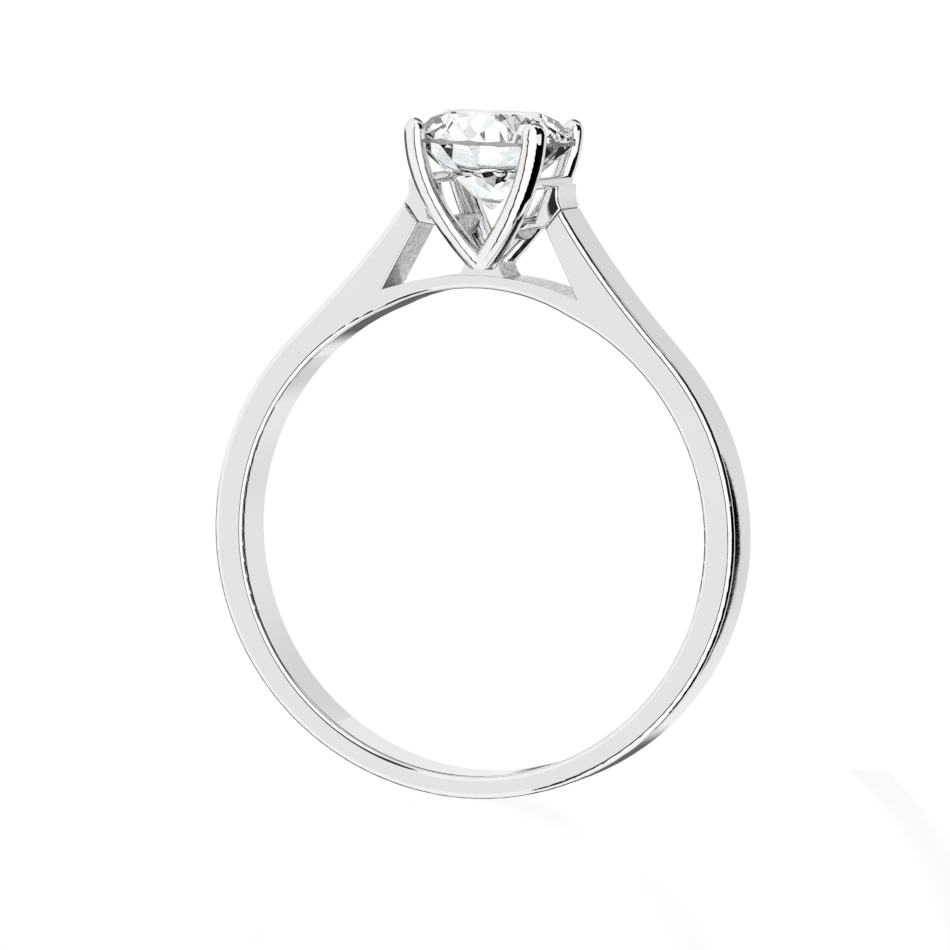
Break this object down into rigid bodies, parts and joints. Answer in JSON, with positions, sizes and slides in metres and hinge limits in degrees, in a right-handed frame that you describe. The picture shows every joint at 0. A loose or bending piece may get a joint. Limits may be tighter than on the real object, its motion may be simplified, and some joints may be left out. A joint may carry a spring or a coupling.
{
  "type": "solitaire engagement ring",
  "caption": "Solitaire ring: polished band with cathedral shoulders, finger bridge, four-prong head and a round brilliant stone.",
  "frame": {"origin": "centre of the finger bore, in the middle of the band's width", "axes": "+Y along the bore, which is the finger's direction; +Z from the palm side of the band up to the stone; +X across, to the right shoulder"},
  "size_m": [0.0194, 0.0058, 0.0244],
  "materials": {
    "white_gold": "mirror-polished, rhodium-plated white gold",
    "stone": "clear, colourless, polished facets"
  },
  "bodies": {
    "root": {"shank": "white_gold", "finger_bridge": "white_gold", "left_shoulder": "white_gold", "right_shoulder": "white_gold", "head_foot": "white_gold", "left_lug": "white_gold", "right_lug": "white_gold", "left_gallery_bar": "white_gold", "right_gallery_bar": "white_gold", "left_gallery_rail": "white_gold", "right_gallery_rail": "white_gold", "front_left_prong": "white_gold", "front_right_prong": "white_gold", "back_left_prong": "white_gold", "back_right_prong": "white_gold", "diamond": "stone"}
  },
  "joints": []
}
